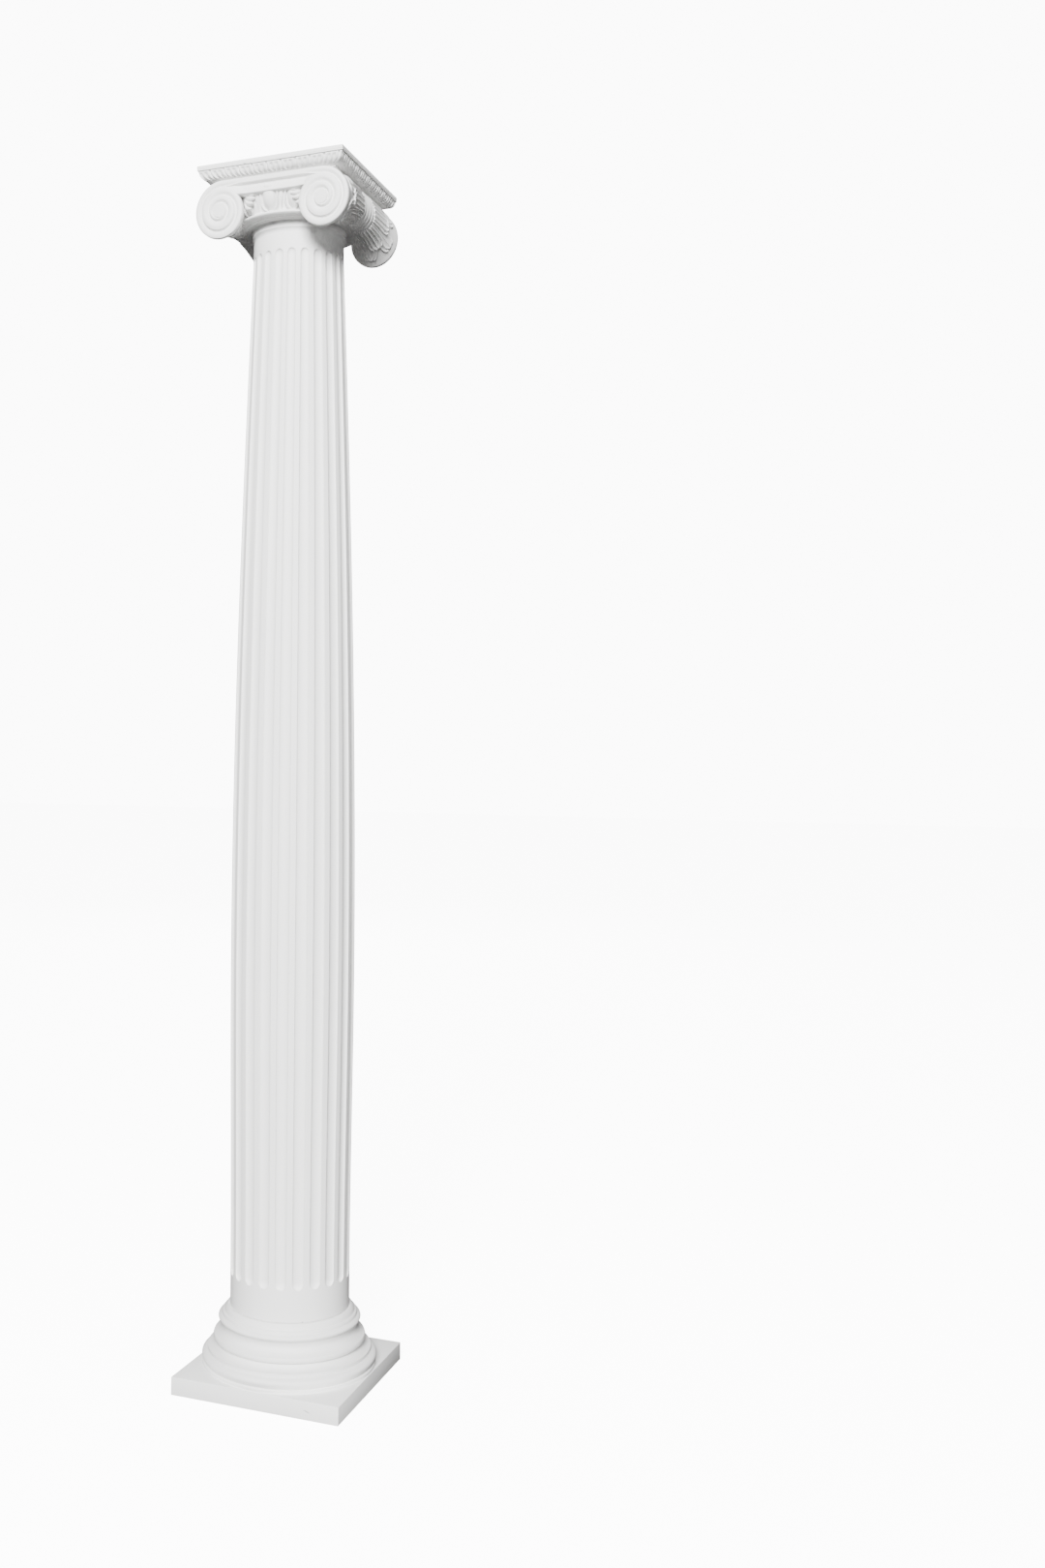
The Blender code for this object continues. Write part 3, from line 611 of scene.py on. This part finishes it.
def place_ribbon(column, row):
    """Place of one vertex of the front right volute's ribbon."""
    out, up, rise = ribbon_place(row, RIBBON[column])
    return Vector((EYE_OFFSET + out, -VOLUTE_PLANE - rise, EYE_HEIGHT + up))


def place_eye(column, row):
    """Place of one vertex of the flat eye, from its rim to its middle."""
    share = 1 - row / EYE_ROWS
    out, up = face_point(LAST_STEP - TURN_STEPS + column, EYE_RADIUS * share)
    rise = coil_rise(EYE_RADIUS) + 0.0005 * (1 - share ** 2)
    return Vector((EYE_OFFSET + out, -VOLUTE_PLANE - rise, EYE_HEIGHT + up))


def make_scroll(name, mirrored):
    """One roll with both of its volutes, as one closed mesh."""
    bm = bmesh.new()
    lay_grid(bm, len(RIBBON) - 1, LAST_STEP, place_ribbon)
    lay_grid(bm, TURN_STEPS, EYE_ROWS, place_eye)
    bmesh.ops.remove_doubles(bm, verts=bm.verts, dist=WELD)
    copied = bmesh.ops.duplicate(bm, geom=bm.verts[:] + bm.edges[:] + bm.faces[:])
    moved = [part for part in copied["geom"] if isinstance(part, bmesh.types.BMVert)]
    bmesh.ops.scale(bm, vec=(1, -1, 1), verts=moved)
    lay_grid(bm, len(OUTLINE) - 1, BOLSTER_ROWS, place_bolster)
    if mirrored:
        bmesh.ops.scale(bm, vec=(-1, 1, 1), verts=bm.verts)
    return finish_piece(bm, name, "capital", 40)


SCROLL_RIGHT = make_scroll("capital_scroll_right", False)
SCROLL_LEFT = make_scroll("capital_scroll_left", True)

# %% [markdown]
# ## Channels
# A band joins the two volutes of each face: a flat fillet at the top, and below it a hollow that
# runs out into the ribbons. Its lower edge is level in the middle and climbs along the volutes'
# outlines at both ends, where it closes to nothing.

# %% Channel between the volutes
CHANNEL_DEPTH = 0.0085
CHANNEL_BACK = 0.120
TUCK = 0.0015
HOLLOW_ROWS = 22
PLAIN_COLUMNS = 30
RISING = range(TURN_STEPS * 3 // 4, TURN_STEPS + 1, 3)


def channel_stations():
    """(x, height and rise of the lower edge) from the band's middle to the right volute's top."""
    rising = []
    for step in RISING:
        out, up, rise = ribbon_place(step, 0.0)
        if EYE_HEIGHT + up > CHANNEL_FOOT:
            rising.append((EYE_OFFSET + out, EYE_HEIGHT + up, rise))
    start, _, first_rise = rising[0]
    level = []
    for column in range(PLAIN_COLUMNS):
        share = column / PLAIN_COLUMNS
        level.append((start * share, CHANNEL_FOOT, first_rise * ease(share * 3 - 2)))
    return level + rising


def channel_profile(station):
    """(depth behind the volutes' plane, height) points down the band at one station."""
    x, foot, foot_rise = station
    near = ease((x / EYE_OFFSET - 0.60) / 0.40)
    fillet = FILLET_FOOT + (EYE_HEIGHT + spiral_radius(1) - FILLET_FOOT) * near
    gap = max(fillet - foot, 0)
    depth = CHANNEL_DEPTH * min(gap / CHANNEL_HEIGHT, 1) ** 0.8
    points = [(0.004, ABACUS_FOOT + 0.001)]
    for share in RIBBON:
        plain = 0.0006 * ease((share - 0.9) / 0.1)
        groove = -ribbon_place(0, share)[2]
        height = ABACUS_FOOT - (ABACUS_FOOT - fillet) * share
        points.append((plain + (groove - plain) * near, height))
    start = points[-1][0]
    for row in range(1, HOLLOW_ROWS + 1):
        share = row / HOLLOW_ROWS
        curve = depth * ease(share / 0.16) * (1 - ease((share - 0.16) / 0.84) ** 1.3)
        points.append((start + (-foot_rise - start) * share + curve, fillet - gap * share))
    drop = 0.0030 * ease((0.080 - x) / 0.020)
    points.append((0.0010 - foot_rise, foot - 0.0007 - 0.2 * drop))
    points.append((0.010, foot - 0.0007 - drop))
    points.append((VOLUTE_PLANE - CHANNEL_BACK, foot - 0.0007 - drop))
    points.append((VOLUTE_PLANE - CHANNEL_BACK, ABACUS_FOOT + 0.001))
    points.append(points[0])
    return points


STATIONS = channel_stations()
BANDS = [channel_profile(station) for station in STATIONS]
STATIONS.append((EYE_OFFSET + TUCK, *STATIONS[-1][1:]))
BANDS.append([(behind + TUCK / 3, height) for behind, height in BANDS[-1]])


def place_channel(column, row):
    """Place of one vertex of the front band, from its left end to its right end."""
    middle = len(STATIONS) - 1
    index = abs(column - middle)
    behind, height = BANDS[index][row]
    x = math.copysign(STATIONS[index][0], column - middle)
    return Vector((x, behind - VOLUTE_PLANE, height))


for name, turn in (("capital_channel_front", 0), ("capital_channel_rear", math.pi)):
    bm = bmesh.new()
    lay_grid(bm, 2 * (len(STATIONS) - 1), len(BANDS[0]) - 1, place_channel)
    bmesh.ops.rotate(bm, verts=bm.verts, cent=(0, 0, 0), matrix=Matrix.Rotation(turn, 3, "Z"))
    finish_piece(bm, name, "capital", 40)

# %% [markdown]
# ## Palmettes
# A small leaf of four petals covers the corner where each volute leaves the band. A petal is a
# sphere that is drawn out, pointed and bent.

# %% Palmettes in the four corners
PETALS = (((0.0800, 0.0085), (0.0425, -0.0015)), ((0.0760, 0.0030), (0.0430, -0.0120)),
          ((0.0740, -0.0050), (0.0480, -0.0230)), ((0.0720, -0.0160), (0.0545, -0.0350)))
PETAL_WIDTH = 0.0150
PETAL_REACH = 0.1625
PETAL_BEND = 0.0050


def add_petal(bm, root, tip):
    """Adds one petal to the front right palmette, between places (x, height over the band)."""
    root = Vector((root[0], CHANNEL_FOOT + root[1]))
    ahead = Vector((tip[0], CHANNEL_FOOT + tip[1])) - root
    side = Vector((ahead.y, -ahead.x)).normalized()
    made = bmesh.ops.create_uvsphere(bm, u_segments=20, v_segments=16, radius=1)
    for vert in made["verts"]:
        along = min(max((vert.co.z + 1) / 2, 0.0), 1.0)
        width = PETAL_WIDTH * math.sqrt(along * (1 - along)) * (0.25 + 0.65 * along)
        around = math.atan2(vert.co.y, vert.co.x)
        aside = width * math.cos(around) - PETAL_BEND * math.sin(math.pi * along)
        flat = root + ahead * along + side * aside
        reach = PETAL_REACH - 0.0030 * along + width * 1.3 * math.sin(around)
        angle = math.asin(flat.x / reach)
        vert.co = Vector((reach * math.sin(angle), -reach * math.cos(angle), flat.y))


for name, across, behind in (("front_right", 1, 1), ("front_left", -1, 1),
                             ("rear_right", 1, -1), ("rear_left", -1, -1)):
    bm = bmesh.new()
    for root, tip in PETALS:
        add_petal(bm, root, tip)
    bmesh.ops.scale(bm, vec=(across, behind, 1), verts=bm.verts)
    finish_piece(bm, "capital_palmette_" + name, "capital", 60)

# %% [markdown]
# ## Coating
# The column is matte white all over, with a very fine tooth from the mould. One node group makes
# that tooth and a faint greying in it, and each of the three parts places it with its own values.
# A second group masks one small mark, such as a scratch or a dent, and is placed once for each.

# %% Materials
TOOTH_SCALE = 900.0
TOOTH_HEIGHT = 0.00006
CLOUD_SCALE = 14.0
GREYED = (0.90, 0.90, 0.89, 1)
MARK_COLOUR = (0.45, 0.45, 0.44, 1)
MARK_DEPTH = 0.0006


def make_tooth_group():
    """Shader group: fine tooth of the mould, as a colour and as a height."""
    group = bpy.data.node_groups.new("mould tooth", "ShaderNodeTree")
    group.interface.new_socket("Colour", in_out="INPUT", socket_type="NodeSocketColor")
    group.interface.new_socket("Greying", in_out="INPUT", socket_type="NodeSocketFloat")
    group.interface.new_socket("Colour", in_out="OUTPUT", socket_type="NodeSocketColor")
    group.interface.new_socket("Height", in_out="OUTPUT", socket_type="NodeSocketFloat")
    nodes, links = group.nodes, group.links
    inputs = nodes.new("NodeGroupInput")
    outputs = nodes.new("NodeGroupOutput")
    place = nodes.new("ShaderNodeTexCoord")
    fine = nodes.new("ShaderNodeTexNoise")
    fine.inputs["Scale"].default_value = TOOTH_SCALE
    cloud = nodes.new("ShaderNodeTexNoise")
    cloud.inputs["Scale"].default_value = CLOUD_SCALE
    grey = nodes.new("ShaderNodeMix")
    grey.data_type = "RGBA"
    grey.blend_type = "MULTIPLY"
    amount = nodes.new("ShaderNodeMath")
    amount.operation = "MULTIPLY"
    links.new(place.outputs["Object"], fine.inputs["Vector"])
    links.new(place.outputs["Object"], cloud.inputs["Vector"])
    links.new(cloud.outputs["Fac"], amount.inputs[0])
    links.new(inputs.outputs["Greying"], amount.inputs[1])
    links.new(amount.outputs[0], grey.inputs["Factor"])
    links.new(inputs.outputs["Colour"], grey.inputs["A"])
    grey.inputs["B"].default_value = GREYED
    links.new(grey.outputs["Result"], outputs.inputs["Colour"])
    links.new(fine.outputs["Fac"], outputs.inputs["Height"])
    return group


def make_mark_group():
    """Shader group: mask of one small mark, an oval with a centre, a turn and three reaches."""
    group = bpy.data.node_groups.new("small mark", "ShaderNodeTree")
    for title in ("Centre", "Turn", "Reach"):
        group.interface.new_socket(title, in_out="INPUT", socket_type="NodeSocketVector")
    group.interface.new_socket("Mask", in_out="OUTPUT", socket_type="NodeSocketFloat")
    nodes, links = group.nodes, group.links
    inputs = nodes.new("NodeGroupInput")
    outputs = nodes.new("NodeGroupOutput")
    place = nodes.new("ShaderNodeTexCoord")
    oval = nodes.new("ShaderNodeMapping")
    oval.vector_type = "TEXTURE"
    links.new(place.outputs["Object"], oval.inputs["Vector"])
    for title, socket in (("Centre", "Location"), ("Turn", "Rotation"), ("Reach", "Scale")):
        links.new(inputs.outputs[title], oval.inputs[socket])
    away = nodes.new("ShaderNodeVectorMath")
    away.operation = "LENGTH"
    links.new(oval.outputs["Vector"], away.inputs[0])
    edge = nodes.new("ShaderNodeMapRange")
    edge.inputs["From Min"].default_value = 1.0
    edge.inputs["From Max"].default_value = 0.5
    links.new(away.outputs["Value"], edge.inputs["Value"])
    links.new(edge.outputs["Result"], outputs.inputs["Mask"])
    return group


def make_coating(name, colour, roughness, greying, marks):
    """Matte white coating of one part, with its small marks as (centre, turn, reach)."""
    material = bpy.data.materials.new(name)
    material.use_nodes = True
    nodes, links = material.node_tree.nodes, material.node_tree.links
    shader = nodes["Principled BSDF"]
    shader.inputs["Roughness"].default_value = roughness
    shader.inputs["Specular IOR Level"].default_value = 0.35
    tooth = nodes.new("ShaderNodeGroup")
    tooth.node_tree = TOOTH
    tooth.inputs["Colour"].default_value = (*colour, 1)
    tooth.inputs["Greying"].default_value = greying
    bump = nodes.new("ShaderNodeBump")
    bump.inputs["Strength"].default_value = 0.6
    bump.inputs["Distance"].default_value = TOOTH_HEIGHT
    links.new(tooth.outputs["Height"], bump.inputs["Height"])
    mask = None
    for centre, turn, reach in marks:
        mark = nodes.new("ShaderNodeGroup")
        mark.node_tree = MARK
        mark.inputs["Centre"].default_value = centre
        mark.inputs["Turn"].default_value = turn
        mark.inputs["Reach"].default_value = reach
        if mask is None:
            mask = mark.outputs["Mask"]
            continue
        both = nodes.new("ShaderNodeMath")
        both.operation = "MAXIMUM"
        links.new(mask, both.inputs[0])
        links.new(mark.outputs["Mask"], both.inputs[1])
        mask = both.outputs[0]
    worn = nodes.new("ShaderNodeMix")
    worn.data_type = "RGBA"
    worn.inputs["B"].default_value = MARK_COLOUR
    links.new(mask, worn.inputs["Factor"])
    links.new(tooth.outputs["Colour"], worn.inputs["A"])
    dent = nodes.new("ShaderNodeBump")
    dent.invert = True
    dent.inputs["Distance"].default_value = MARK_DEPTH
    links.new(mask, dent.inputs["Height"])
    links.new(bump.outputs["Normal"], dent.inputs["Normal"])
    links.new(worn.outputs["Result"], shader.inputs["Base Color"])
    links.new(dent.outputs["Normal"], shader.inputs["Normal"])
    return material


TOOTH = make_tooth_group()
MARK = make_mark_group()
BASE_MARKS = [((0.1217, -0.1920, 0.0175), (0, math.radians(18), 0), (0.0088, 0.0040, 0.0011))]
SHAFT_MARKS = [((0.0760, -0.1075, 0.1605), (0, 0, 0), (0.0020, 0.0050, 0.0024))]
CAPITAL_MARKS = [((-0.0593, -0.1787, 2.6892), (0, 0, 0), (0.0040, 0.0040, 0.0014)),
                 ((0.1152, -0.1720, 2.6099), (0, 0, 0), (0.0014, 0.0050, 0.0014)),
                 ((0.0819, -0.1640, 2.6334), (0, math.radians(30), 0), (0.0010, 0.0060, 0.0024))]
COATINGS = {
    "base": make_coating("base_coating", (0.86, 0.86, 0.85), 0.6, 0.35, BASE_MARKS),
    "shaft": make_coating("shaft_coating", (0.87, 0.87, 0.86), 0.6, 0.25, SHAFT_MARKS),
    "capital": make_coating("capital_coating", (0.85, 0.85, 0.84), 0.6, 0.45, CAPITAL_MARKS),
}
for piece in bpy.context.scene.objects:
    if piece.type == "MESH" and piece.get("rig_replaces"):
        piece.data.materials.append(COATINGS[piece["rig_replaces"][0]])
print("coatings", sorted(COATINGS))

# %% [markdown]
# ## Studio
# The floor is a plain pale sheet that glows for the camera alone, so it meets the backdrop without
# a line. A broad soft light stands high in front and a little to the right, a weak one fills from
# the right, and another lights the rear. The camera stands at eye height.

# %% Floor, lights and world
PAPER_TONE = (0.95, 0.95, 0.95)
BOUNCE_TONE = (0.03, 0.03, 0.03)
PAPER_GLOW = 10.4
BACKDROP = 11.0
AMBIENT = 0.012
FLOOR_REACH = 30

bm = bmesh.new()
bmesh.ops.create_grid(bm, x_segments=1, y_segments=1, size=FLOOR_REACH)
floor_mesh = bpy.data.meshes.new("studio_floor")
bm.to_mesh(floor_mesh)
bm.free()
FLOOR = bpy.data.objects.new("studio_floor", floor_mesh)
bpy.context.scene.collection.objects.link(FLOOR)
paper = bpy.data.materials.new("studio_paper")
paper.use_nodes = True
paper_shader = paper.node_tree.nodes["Principled BSDF"]
paper_shader.inputs["Roughness"].default_value = 0.9
seen = paper.node_tree.nodes.new("ShaderNodeLightPath")
tone = paper.node_tree.nodes.new("ShaderNodeMix")
tone.data_type = "RGBA"
tone.inputs["A"].default_value = (*BOUNCE_TONE, 1)
tone.inputs["B"].default_value = (*PAPER_TONE, 1)
paper.node_tree.links.new(seen.outputs["Is Camera Ray"], tone.inputs["Factor"])
paper.node_tree.links.new(tone.outputs["Result"], paper_shader.inputs["Base Color"])
paper_shader.inputs["Emission Color"].default_value = (1, 1, 1, 1)
glow = paper.node_tree.nodes.new("ShaderNodeMath")
glow.operation = "MULTIPLY"
glow.inputs[1].default_value = PAPER_GLOW
paper.node_tree.links.new(seen.outputs["Is Camera Ray"], glow.inputs[0])
paper.node_tree.links.new(glow.outputs[0], paper_shader.inputs["Emission Strength"])
floor_mesh.materials.append(paper)


def add_light(name, place, target, size, power):
    """Square soft light at a place, turned to a target."""
    data = bpy.data.lights.new(name, "AREA")
    data.shape = "SQUARE"
    data.size = size
    data.energy = power
    light = bpy.data.objects.new(name, data)
    light.location = place
    light.rotation_euler = (Vector(target) - Vector(place)).to_track_quat("-Z", "Y").to_euler()
    bpy.context.scene.collection.objects.link(light)
    return light


add_light("key", (2.6, -10.0, 6.2), (0, 0, 1.35), 4.0, 5200)
add_light("fill", (8.5, -3.5, 3.0), (0, 0, 1.6), 3.0, 130)
add_light("rear", (-3.4, 8.0, 5.0), (0, 0, 1.35), 4.0, 420)
world = bpy.data.worlds.new("studio")
bpy.context.scene.world = world
world.use_nodes = True
backdrop = world.node_tree.nodes["Background"]
backdrop.inputs["Color"].default_value = (1, 1, 1, 1)
seen = world.node_tree.nodes.new("ShaderNodeLightPath")
strength = world.node_tree.nodes.new("ShaderNodeMapRange")
strength.inputs["To Min"].default_value = AMBIENT
strength.inputs["To Max"].default_value = BACKDROP
world.node_tree.links.new(seen.outputs["Is Camera Ray"], strength.inputs["Value"])
world.node_tree.links.new(strength.outputs["Result"], backdrop.inputs["Strength"])

# %% Camera
CAMERA_PLACE = Vector((1.3883, -3.2383, 1.3708))
CAMERA_YAW = math.radians(-22.781)
CAMERA_PITCH = math.radians(4.865)
CAMERA_ROLL = math.radians(0.47)
IMAGE_WIDTH, IMAGE_HEIGHT = 1080, 1620
FOCAL_PIXELS = 1595.09
CENTRE_X, CENTRE_Y = 317.41, 640.03
SENSOR = 36.0

ahead = Vector((math.sin(CAMERA_YAW) * math.cos(CAMERA_PITCH),
                math.cos(CAMERA_YAW) * math.cos(CAMERA_PITCH), math.sin(CAMERA_PITCH)))
right = ahead.cross(Vector((0, 0, 1))).normalized()
upward = right.cross(ahead)
rolled_right = math.cos(CAMERA_ROLL) * right + math.sin(CAMERA_ROLL) * upward
rolled_up = -math.sin(CAMERA_ROLL) * right + math.cos(CAMERA_ROLL) * upward
camera_data = bpy.data.cameras.new("camera")
camera_data.sensor_width = SENSOR
camera_data.lens = FOCAL_PIXELS * SENSOR / IMAGE_HEIGHT
camera_data.shift_x = (IMAGE_WIDTH / 2 - CENTRE_X) / IMAGE_HEIGHT
camera_data.shift_y = (CENTRE_Y - IMAGE_HEIGHT / 2) / IMAGE_HEIGHT
camera_data.clip_end = 100
camera = bpy.data.objects.new("camera", camera_data)
camera.matrix_world = Matrix((
    (rolled_right.x, rolled_up.x, -ahead.x, CAMERA_PLACE.x),
    (rolled_right.y, rolled_up.y, -ahead.y, CAMERA_PLACE.y),
    (rolled_right.z, rolled_up.z, -ahead.z, CAMERA_PLACE.z),
    (0, 0, 0, 1),
))
bpy.context.scene.collection.objects.link(camera)
bpy.context.scene.camera = camera
print("lens", camera_data.lens, "shift", camera_data.shift_x, camera_data.shift_y)
